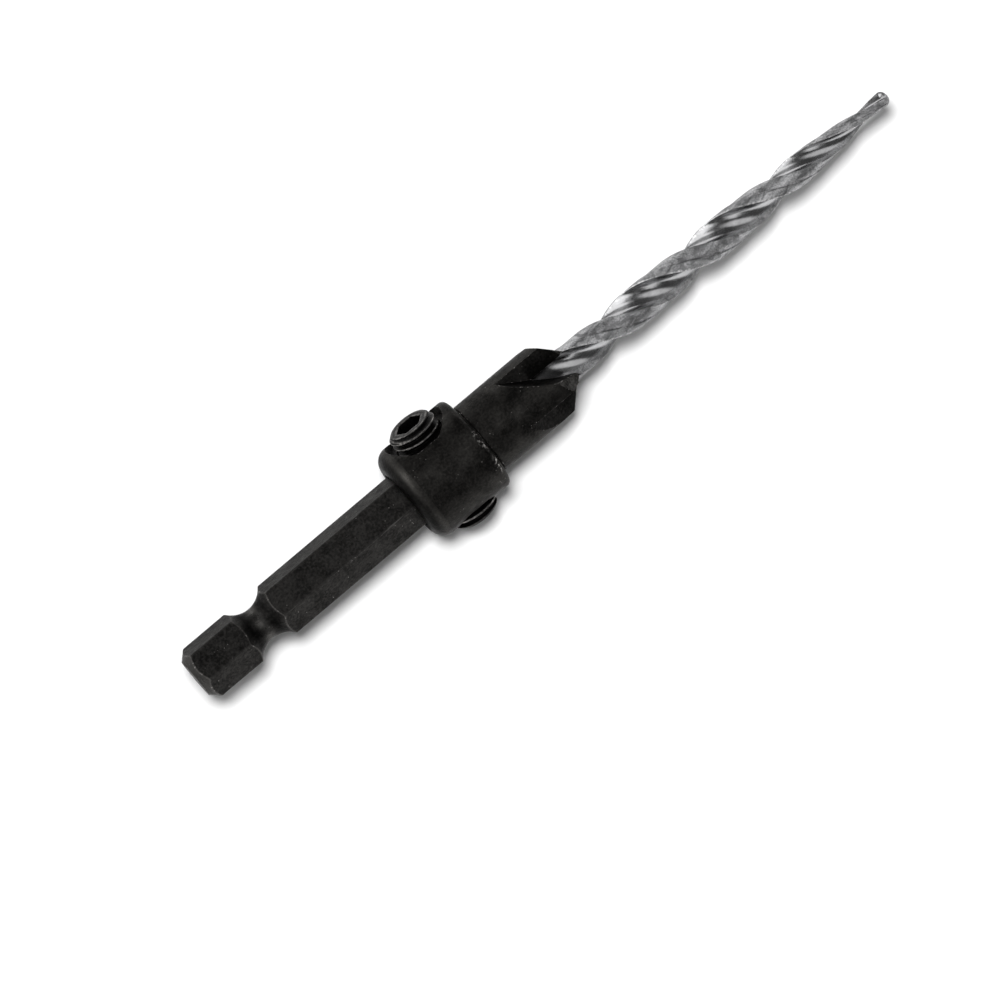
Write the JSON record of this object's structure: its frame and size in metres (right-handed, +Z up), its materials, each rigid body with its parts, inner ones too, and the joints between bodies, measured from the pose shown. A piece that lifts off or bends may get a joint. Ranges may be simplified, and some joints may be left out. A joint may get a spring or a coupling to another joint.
{
  "type": "countersink bit",
  "caption": "Wood countersink and counterbore bit: tapered twist drill through a toothed cutter with a set-screw collar, on a hexagonal quick-change shank.",
  "frame": {"origin": "under the middle of the tool's length, on the surface that the collar lies on", "axes": "+X along the tool from the hex shank's rear face to the drill's point, +Z up from the surface that it lies on"},
  "size_m": [0.107, 0.0152, 0.0127],
  "materials": {
    "shank_black_oxide": "black oxide on hexagon bar, faint drawing lines, edges rubbed brighter",
    "cutter_black_oxide": "matt black oxide on turned and ground steel, small bright nicks on the edges",
    "bright_steel": "bright ground tool steel, polished flutes and fine-grained lands",
    "screw_black_oxide": "oiled black oxide on cut threads"
  },
  "bodies": {
    "root": {"hex_shank": "shank_black_oxide", "cutter_body": "cutter_black_oxide", "drill_bit": "bright_steel", "set_screw_upper": "screw_black_oxide", "set_screw_lower": "screw_black_oxide"}
  },
  "joints": []
}
